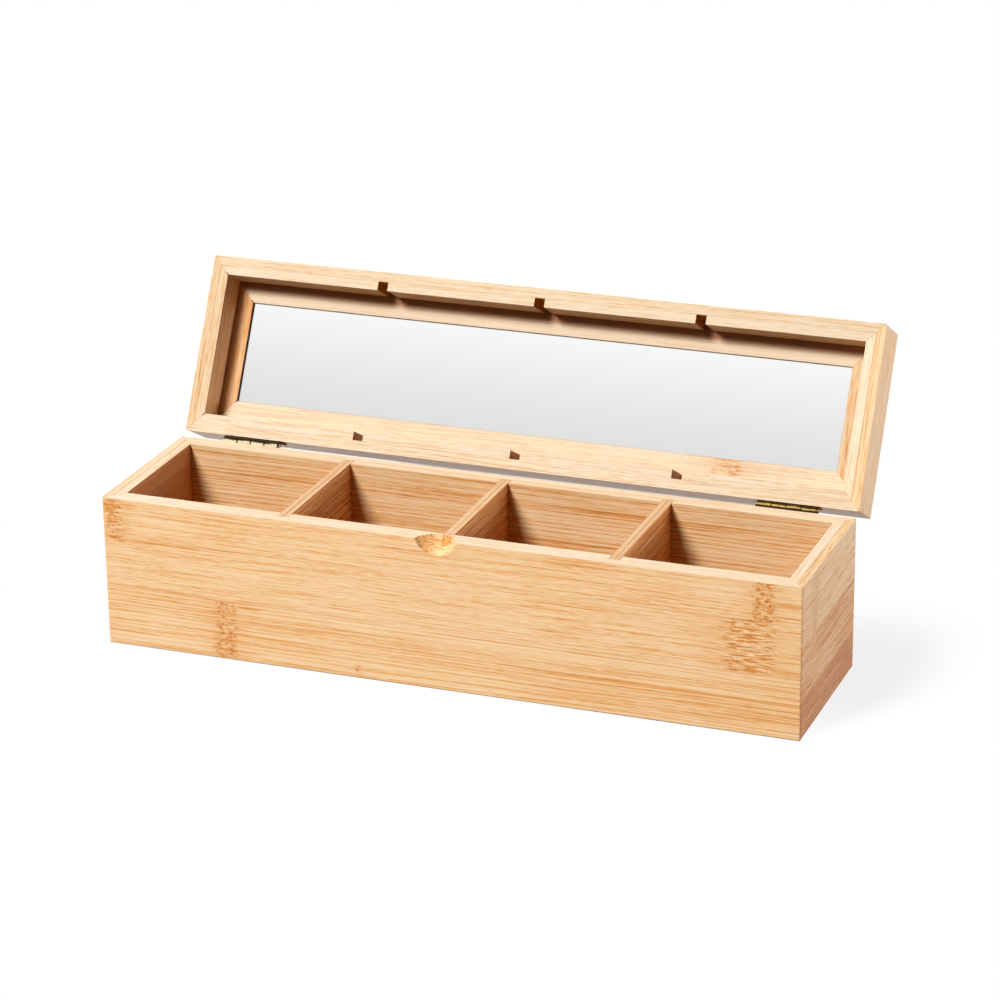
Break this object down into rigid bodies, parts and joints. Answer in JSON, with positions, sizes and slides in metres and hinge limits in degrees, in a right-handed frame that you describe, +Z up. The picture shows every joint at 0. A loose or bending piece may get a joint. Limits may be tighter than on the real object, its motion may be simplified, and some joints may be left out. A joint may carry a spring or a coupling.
{
  "type": "tea bag organizer box",
  "caption": "Long bamboo box with compartments in a row, a thumb scoop in the front wall and a hinged lid with a clear window, shown open.",
  "frame": {"origin": "centre of the box's underside, on the surface it stands on", "axes": "+X along the box's length to its right end, +Y to the back where the hinges are, +Z up"},
  "size_m": [0.35, 0.1599, 0.1576],
  "materials": {
    "bamboo": "pale caramel bamboo, laminated from two plies, matt clear lacquer",
    "glass": "clear polished pane",
    "brass": "bright rolled and plated sheet"
  },
  "bodies": {
    "body": {"front_wall": "bamboo", "back_wall": "bamboo", "left_wall": "bamboo", "right_wall": "bamboo", "bottom_panel": "bamboo", "divider_left": "bamboo", "divider_centre": "bamboo", "divider_right": "bamboo", "hinge_left_body_leaf": "brass", "hinge_left_pin": "brass", "hinge_right_body_leaf": "brass", "hinge_right_pin": "brass", "body_hinge_screws": "brass"},
    "lid": {"lid_front_rail": "bamboo", "lid_back_rail": "bamboo", "lid_left_rail": "bamboo", "lid_right_rail": "bamboo", "window_frame_front": "bamboo", "window_frame_back": "bamboo", "window_frame_left": "bamboo", "window_frame_right": "bamboo", "window_pane": "glass", "hinge_left_lid_leaf": "brass", "hinge_right_lid_leaf": "brass", "lid_hinge_screws": "brass"}
  },
  "joints": [
    {"name": "lid_hinge", "type": "hinge", "parent": "body", "child": "lid", "pos_m": [0, 0.04765, 0.0761], "axis": [1, 0, 0], "range_deg": [0, 118.6]}
  ]
}
